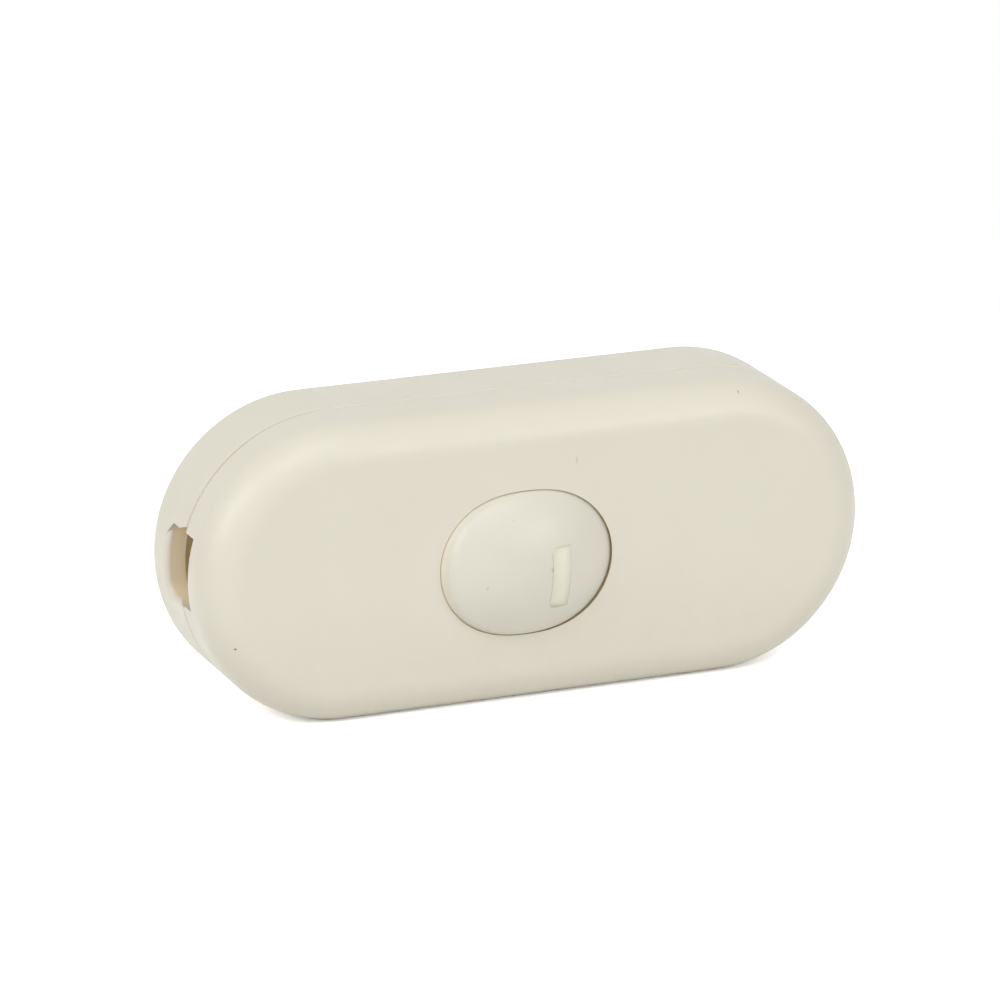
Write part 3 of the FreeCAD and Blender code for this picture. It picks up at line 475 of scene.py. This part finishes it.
def new_material(slot):
    """A node material named after a finish of the record, emptied but for its shader and coordinates."""
    material = bpy.data.materials.new(f"{slot}_finish")
    material.use_nodes = True
    tree = material.node_tree
    tree.nodes.clear()
    maker = NodeMaker(tree)
    shader = maker.add("ShaderNodeBsdfPrincipled")
    output = maker.add("ShaderNodeOutputMaterial")
    maker.set(output.inputs["Surface"], shader.outputs["BSDF"])
    place = maker.add("ShaderNodeTexCoord").outputs["Object"]
    return material, maker, shader.inputs, place


def add_bump(maker, shader, height):
    """Raises a surface by a height in metres."""
    bump = maker.add("ShaderNodeBump", {"Height": height, "Strength": 1.0, "Distance": 1.0})
    maker.set(shader["Normal"], bump.outputs["Normal"])


def moulded_plastic(maker, place, settings, colour, roughness, relief=1.0):
    """The moulded plastic group with the plastic's own sizes, its grain and waves lowered by a share."""
    return maker.add("ShaderNodeGroup", {
        "Vector": place, "Colour": colour, "Mottle": settings.mottle, "Mottle size": settings.mottle_size,
        "Grain size": settings.grain_size, "Grain height": settings.grain_height * relief,
        "Wave size": settings.wave_size, "Wave height": settings.wave_height * relief, "Roughness": roughness,
    }, node_tree=shared_group("Moulded plastic", moulded_plastic_group)).outputs


def flecks(maker, place, colour, spacing, size, share):
    """The flecks group on a colour."""
    return maker.add("ShaderNodeGroup", {
        "Vector": place, "Colour": colour, "Fleck": from_screen(*FLECK_COLOUR), "Spacing": spacing,
        "Size": size, "Share": share,
    }, node_tree=shared_group("Flecks", flecks_group)).outputs["Colour"]


def painted_tint(maker, place, colour, painted_light_tint, where, strength):
    """The painted tint group on a colour, for painted shade and for painted warm light."""
    return maker.add("ShaderNodeGroup", {
        "Vector": place, "Colour": colour, "Grime": tuple(painted_light_tint), "Where": where, "Strength": strength,
    }, node_tree=shared_group("Settled grime", painted_tint_group)).outputs["Colour"]


def specks(maker, place, settings, colour, marks):
    """The speck group, once for each mark: its place, stretch, size and strength."""
    for spot, stretch, size, strength in marks:
        colour = maker.add("ShaderNodeGroup", {
            "Vector": place, "Colour": colour, "Speck": tuple(settings.speck), "Place": spot,
            "Stretch": stretch, "Size": size, "Strength": strength,
        }, node_tree=shared_group("Speck", speck_group)).outputs["Colour"]
    return colour


def within(maker, value, start, low, high, end):
    """1 between a low and a high limit, falling to 0 at the start and the end."""
    return maker.maths("MULTIPLY", maker.ramp(value, start, low), maker.ramp(value, high, end, 1.0, 0.0))


def inside_housing(maker, place):
    """0 on the shells' outer faces, 1 in the cord slots and the seam, less in the opening and the hollow."""
    axes = maker.add("ShaderNodeSeparateXYZ", {"Vector": place}).outputs
    beyond = maker.maths("SUBTRACT", maker.maths("ABSOLUTE", axes["X"]), END_CENTRE)
    along = maker.maths("MAXIMUM", beyond, 0.0)
    up = maker.maths("SUBTRACT", axes["Z"], MIDDLE)
    squares = [maker.maths("MULTIPLY", length, length) for length in (along, up)]
    reach = maker.maths("SQRT", maker.maths("ADD", *squares))
    depth = maker.maths("SUBTRACT", END_RADIUS, reach)
    side = maker.maths("ABSOLUTE", axes["Y"])
    sides = maker.maths(
        "MULTIPLY", maker.ramp(depth, *SLOT_DEPTH), maker.ramp(side, *SLOT_HALF_WIDTH, 1.0, 0.0))
    under = within(maker, axes["Y"], *UNDER_FRONT, *UNDER_BACK)
    opening = maker.maths("MULTIPLY", under, maker.ramp(depth, *OPENING_DEPTH))
    past_face = maker.ramp(axes["Y"], *UNDER_FACE_WALL)
    hollow = maker.maths("MULTIPLY", past_face, maker.ramp(depth, *SIDE_WALL_DEPTH))
    cavity = maker.maths("MULTIPLY", under, hollow)
    inside = maker.maths("MULTIPLY", maker.maths("MAXIMUM", opening, cavity), HOLLOW_SHARE)
    return maker.maths("MAXIMUM", sides, inside)


def lower_half(maker, place):
    """0 down to the middle of the housing and 1 at its foot."""
    height = maker.add("ShaderNodeSeparateXYZ", {"Vector": place}).outputs["Z"]
    return maker.ramp(height, CAD_BOX[0].z, MIDDLE, 1.0, 0.0)


def from_hinge(maker, place, direction):
    """How far a place lies from the rocker's hinge in one direction."""
    offset = maker.vector_maths("SUBTRACT", place, tuple(HINGE))
    node = maker.add("ShaderNodeVectorMath", {0: offset, 1: tuple(direction)}, operation="DOT_PRODUCT")
    return node.outputs["Value"]


def down_the_skirt(maker, place):
    """0 on the rocker's dome and 1 on its skirt, below the rim."""
    return maker.ramp(from_hinge(maker, place, ROCKER_FACING), *RIM_FADE, 1.0, 0.0)


def on_rocker(maker, place, across, up):
    """1 inside a patch of the rocker's face with soft edges, measured from the hinge, and 0 elsewhere."""
    across_mask = within(maker, from_hinge(maker, place, ROCKER_ALONG), *across)
    up_mask = within(maker, from_hinge(maker, place, (0.0, 0.0, 1.0)), *up)
    return maker.maths("MULTIPLY", across_mask, up_mask)


def light_through(maker, shader, settings, inner):
    """Lets inner faces glow faintly, as light comes through the thin walls."""
    maker.set(shader["Emission Color"], maker.blend(inner, (0.0, 0.0, 0.0), tuple(settings.glow)))
    shader["Emission Strength"].default_value = 1.0


def shell_material(settings):
    """Satin ivory with painted shade on its lower half, painted warm light and a faint glow inside, and a few
    small marks.
    """
    material, maker, shader, place = new_material("ivory_shell")
    plastic = moulded_plastic(maker, place, settings, tuple(settings.shell), settings.shell_roughness)
    # Painted shade: the lower half is greyed towards its foot.
    lower_shaded = painted_tint(
        maker, place, plastic["Colour"], settings.film, lower_half(maker, place), settings.shell_lower_shade)
    inner = inside_housing(maker, place)
    # Painted warm light in the cord slots, the seam, the opening and the hollow.
    warm_lit = painted_tint(maker, place, lower_shaded, settings.painted_light_tint, inner, settings.shell_warm_light)
    flecked = flecks(maker, place, warm_lit, *SHELL_FLECKS)
    maker.set(shader["Base Color"], specks(maker, place, settings, flecked, SHELL_MARKS))
    maker.set(shader["Roughness"], plastic["Roughness"])
    add_bump(maker, shader, plastic["Height"])
    light_through(maker, shader, settings, inner)
    return material


def rocker_material(settings):
    """Smooth ivory, a little glossier than the shells, with a lighter bar (partly its creamier tone, partly
    painted light), a painted shadow along the bar's left edge, painted shade on its lower half and painted
    warm light on the skirt.
    """
    material, maker, shader, place = new_material("ivory_rocker")
    plastic = moulded_plastic(
        maker, place, settings, tuple(settings.rocker), settings.rocker_roughness, POLISHED_RELIEF)
    # Lighter bar: partly its creamier tone, partly painted light on the recess floor.
    bar = on_rocker(maker, place, BAR_ACROSS, BAR_UP)
    lightened = maker.blend(bar, plastic["Colour"], tuple(settings.bar))
    # Painted shadow along the bar's left edge.
    bar_shadow_mask = on_rocker(maker, place, BAR_SHADOW_ACROSS, BAR_SHADOW_UP)
    edge = maker.maths("MULTIPLY", bar_shadow_mask, settings.bar_edge_shadow)
    barred = maker.blend(edge, lightened, tuple(settings.film))
    # Painted shade: the lower half is greyed towards its foot.
    lower_shaded = painted_tint(
        maker, place, barred, settings.film, lower_half(maker, place), settings.rocker_lower_shade)
    # Painted warm light on the rocker's skirt.
    inner = down_the_skirt(maker, place)
    warm_lit = painted_tint(maker, place, lower_shaded, settings.painted_light_tint, inner, settings.rocker_warm_light)
    flecked = flecks(maker, place, warm_lit, *ROCKER_FLECKS)
    maker.set(shader["Base Color"], specks(maker, place, settings, flecked, ROCKER_MARKS))
    maker.set(shader["Roughness"], plastic["Roughness"])
    add_bump(maker, shader, plastic["Height"])
    light_through(maker, shader, settings, inner)
    return material


def plunger_material(settings):
    """Plain off-white plastic."""
    material, maker, shader, place = new_material("plunger_plastic")
    plastic = moulded_plastic(maker, place, settings, tuple(settings.plunger), settings.shell_roughness)
    maker.set(shader["Base Color"], plastic["Colour"])
    maker.set(shader["Roughness"], plastic["Roughness"])
    add_bump(maker, shader, plastic["Height"])
    return material


def metal_material(slot, colour, film):
    """A worked metal with a film of its own."""
    film_share, stretch, roughness = METALS[slot]
    material, maker, shader, place = new_material(slot)
    metal = maker.add("ShaderNodeGroup", {
        "Vector": place, "Colour": tuple(colour), "Film": tuple(film), "Film share": film_share,
        "Line stretch": stretch, "Roughness": roughness,
    }, node_tree=shared_group("Worked metal", worked_metal_group)).outputs
    maker.set(shader["Base Color"], metal["Colour"])
    maker.set(shader["Roughness"], metal["Roughness"])
    shader["Metallic"].default_value = 1.0
    add_bump(maker, shader, metal["Height"])
    return material


def fibre_material(settings):
    """Pressed brown fibre with darker strands."""
    material, maker, shader, place = new_material("brown_fibre")
    along = maker.vector_maths("MULTIPLY", place, STRAND_STRETCH)
    strands = maker.noise(along, STRAND_WIDTH, detail=4.0, roughness=0.6)
    mix = maker.ramp(strands, 0.35, 0.65)
    maker.set(shader["Base Color"], maker.blend(mix, tuple(settings.fibre_dark), tuple(settings.fibre)))
    shader["Roughness"].default_value = FIBRE_ROUGHNESS
    add_bump(maker, shader, maker.maths("MULTIPLY", strands, STRAND_HEIGHT))
    return material


def finish_nodes(material, *names):
    """Gives CAD nodes a material in place of their plain one."""
    for name in names:
        slots = frame["nodes"][name].material_slots
        if not slots:
            raise RuntimeError(f"{name} has no material slot")
        for slot in slots:
            slot.link = "OBJECT"
            slot.material = material


def add_coil_spring(material):
    """A copy of the CAD spring's coil, with a material of its own, hung on the rocker in place of the CAD
    spring, which is hidden.
    """
    coil = bpy.data.objects.new("coil_spring", frame["nodes"]["plunger_spring"].data.copy())
    bpy.context.scene.collection.objects.link(coil)
    coil.data.materials.clear()
    coil.data.materials.append(material)
    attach(coil, "rocker")
    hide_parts("plunger_spring")
    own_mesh(coil)


class CORDSWITCH_OT_shells(bpy.types.Operator):
    """Finish the front cover and the rear shell in satin ivory"""
    bl_idname = "cord_switch.shells"
    bl_label = "Housing shells"

    def execute(self, context):
        finish_nodes(shell_material(context.scene.cord_switch_plastic), "front_cover", "rear_shell")
        return {"FINISHED"}


class CORDSWITCH_OT_rocker(bpy.types.Operator):
    """Finish the rocker in smooth ivory"""
    bl_idname = "cord_switch.rocker"
    bl_label = "Rocker"

    def execute(self, context):
        finish_nodes(rocker_material(context.scene.cord_switch_plastic), "rocker_button")
        return {"FINISHED"}


class CORDSWITCH_OT_plunger(bpy.types.Operator):
    """Finish the plunger and add its spring"""
    bl_idname = "cord_switch.plunger"
    bl_label = "Plunger and spring"

    def execute(self, context):
        metals = context.scene.cord_switch_metals
        finish_nodes(plunger_material(context.scene.cord_switch_plastic), "rocker_plunger")
        add_coil_spring(metal_material("spring_steel", metals.spring, metals.zinc))
        return {"FINISHED"}


class CORDSWITCH_OT_conductors(bpy.types.Operator):
    """Finish the see-saw, the contacts, the terminals and the neutral link"""
    bl_idname = "cord_switch.conductors"
    bl_label = "Conductors"

    def execute(self, context):
        metals = context.scene.cord_switch_metals
        brass = metal_material("contact_brass", metals.brass, metals.tarnish)
        finish_nodes(brass, "contact_blade", "line_terminal", "load_terminal", "neutral_link")
        silver = metal_material("contact_silver", metals.silver, metals.tarnish)
        finish_nodes(silver, "moving_contact", "fixed_contact")
        return {"FINISHED"}


class CORDSWITCH_OT_cord_clamps(bpy.types.Operator):
    """Finish the two fibre bars that hold the cord"""
    bl_idname = "cord_switch.cord_clamps"
    bl_label = "Cord clamps"

    def execute(self, context):
        finish_nodes(fibre_material(context.scene.cord_switch_metals), "left_cord_clamp", "right_cord_clamp")
        return {"FINISHED"}


class CORDSWITCH_OT_fasteners(bpy.types.Operator):
    """Finish the screws and the wire clamp plates"""
    bl_idname = "cord_switch.fasteners"
    bl_label = "Screws and clamp plates"

    def execute(self, context):
        metals = context.scene.cord_switch_metals
        zinc = metal_material("zinc_steel", metals.zinc, metals.spring)
        plates = [name for name in frame["nodes"] if name.endswith("_wire_clamp")]
        screws = [name for name in frame["nodes"] if name.endswith("_screws")]
        finish_nodes(zinc, *plates, *screws)
        return {"FINISHED"}


def seen_directly(maker, rays):
    """1 on rays from the camera and on reflected or refracted ones, 0 on rays that carry light."""
    shown = maker.maths("MAXIMUM", rays["Is Camera Ray"], rays["Is Glossy Ray"])
    return maker.maths("MAXIMUM", shown, rays["Is Transmission Ray"])


def add_floor():
    """A white floor that keeps the shadow near the part and is plain white further off."""
    half = FLOOR_HALF_WIDTH
    corners = [(-half, -half, 0), (half, -half, 0), (half, half, 0), (-half, half, 0)]
    mesh = bpy.data.meshes.new("floor")
    mesh.from_pydata(corners, [], [(0, 1, 2, 3)])
    floor = bpy.data.objects.new("floor", mesh)
    floor.location.z = CAD_BOX[0].z
    bpy.context.scene.collection.objects.link(floor)
    material = bpy.data.materials.new("white_floor")
    material.use_nodes = True
    material.node_tree.nodes.clear()
    maker = NodeMaker(material.node_tree)
    rays = maker.add("ShaderNodeLightPath").outputs
    mirrored = maker.blend(rays["Is Glossy Ray"], BOUNCED_WHITE, MIRRORED_WHITE)
    tone = maker.blend(rays["Is Camera Ray"], mirrored, SEEN_WHITE)
    paper = maker.add("ShaderNodeBsdfDiffuse", {"Color": tone})
    glow = maker.add("ShaderNodeEmission", {"Color": (1.0, 1.0, 1.0), "Strength": 1.0})
    place = maker.add("ShaderNodeTexCoord").outputs["Object"]
    away = maker.add("ShaderNodeVectorMath", {0: place}, operation="LENGTH").outputs["Value"]
    far = maker.maths("MULTIPLY", maker.ramp(away, *SHADOW_FADE), seen_directly(maker, rays))
    surface = maker.add("ShaderNodeMixShader", {0: far, 1: paper.outputs[0], 2: glow.outputs[0]})
    output = maker.add("ShaderNodeOutputMaterial")
    maker.set(output.inputs["Surface"], surface.outputs[0])
    mesh.materials.append(material)


def add_room(strength):
    """Even light from all sides, with white behind the part."""
    world = bpy.data.worlds.new("white_room")
    world.use_nodes = True
    world.node_tree.nodes.clear()
    maker = NodeMaker(world.node_tree)
    rays = maker.add("ShaderNodeLightPath").outputs
    level = maker.ramp(seen_directly(maker, rays), 0.0, 1.0, strength, 1.0)
    light = maker.add("ShaderNodeBackground", {"Color": (1.0, 1.0, 1.0), "Strength": level})
    output = maker.add("ShaderNodeOutputWorld")
    maker.set(output.inputs["Surface"], light.outputs["Background"])
    bpy.context.scene.world = world


def add_softbox(name, power, location, target, width, height):
    """A large soft lamp that faces the part."""
    lamp = bpy.data.lights.new(name, "AREA")
    lamp.shape = "RECTANGLE"
    lamp.size = width
    lamp.size_y = height
    lamp.energy = power
    box = bpy.data.objects.new(name, lamp)
    box.location = location
    box.rotation_euler = (target - location).to_track_quat("-Z", "Y").to_euler()
    bpy.context.scene.collection.objects.link(box)


def add_camera(studio, target):
    """The camera at the viewing angle of the photograph."""
    away = Vector((
        -math.sin(studio.side_angle) * math.cos(studio.height_angle),
        -math.cos(studio.side_angle) * math.cos(studio.height_angle),
        math.sin(studio.height_angle),
    ))
    lens = bpy.data.cameras.new("camera")
    lens.lens = studio.lens
    lens.shift_x = studio.shift_x
    lens.shift_y = studio.shift_y
    lens.clip_start = NEAREST_SEEN
    camera = bpy.data.objects.new("camera", lens)
    turn = (-away).to_track_quat("-Z", "Y").to_matrix() @ Matrix.Rotation(studio.roll, 3, "Z")
    camera.matrix_world = Matrix.Translation(target + away * studio.distance) @ turn.to_4x4()
    bpy.context.scene.collection.objects.link(camera)
    bpy.context.scene.camera = camera


class CORDSWITCH_OT_studio(bpy.types.Operator):
    """Set up the floor, the lights and the camera"""
    bl_idname = "cord_switch.studio"
    bl_label = "Studio"

    def execute(self, context):
        studio = context.scene.cord_switch_studio
        target = Vector((0.0, studio.aim_depth, studio.aim_height))
        add_floor()
        add_room(studio.ambient)
        for name, (place, width, height) in SOFTBOXES.items():
            add_softbox(name, getattr(studio, f"{name}_power"), place, target, width, height)
        add_camera(studio, target)
        context.scene.view_settings.view_transform = "Standard"
        return {"FINISHED"}


OPERATORS = (
    CORDSWITCH_OT_shells, CORDSWITCH_OT_rocker, CORDSWITCH_OT_plunger, CORDSWITCH_OT_conductors,
    CORDSWITCH_OT_cord_clamps, CORDSWITCH_OT_fasteners, CORDSWITCH_OT_studio,
)


class CORDSWITCH_PT_panel(bpy.types.Panel):
    """Lists the pieces and the studio"""
    bl_idname = "CORDSWITCH_PT_panel"
    bl_label = "Cord Switch"
    bl_space_type = "VIEW_3D"
    bl_region_type = "UI"
    bl_category = "Cord Switch"

    def draw(self, context):
        for operator in OPERATORS:
            self.layout.operator(operator.bl_idname)


SETTINGS = {
    "cord_switch_plastic": PlasticSettings,
    "cord_switch_metals": MetalSettings,
    "cord_switch_studio": StudioSettings,
}
CLASSES = (*SETTINGS.values(), *OPERATORS, CORDSWITCH_PT_panel)


def register():
    """Registers the classes and hangs the settings on the scene."""
    for item in CLASSES:
        bpy.utils.register_class(item)
    for name, group in SETTINGS.items():
        setattr(bpy.types.Scene, name, bpy.props.PointerProperty(type=group))


def unregister():
    """Takes the settings and the classes away again."""
    for name in SETTINGS:
        delattr(bpy.types.Scene, name)
    for item in reversed(CLASSES):
        bpy.utils.unregister_class(item)


def main():
    """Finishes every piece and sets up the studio."""
    register()
    bpy.ops.cord_switch.shells()
    bpy.ops.cord_switch.rocker()
    bpy.ops.cord_switch.plunger()
    bpy.ops.cord_switch.conductors()
    bpy.ops.cord_switch.cord_clamps()
    bpy.ops.cord_switch.fasteners()
    bpy.ops.cord_switch.studio()


if __name__ == "__main__":
    main()
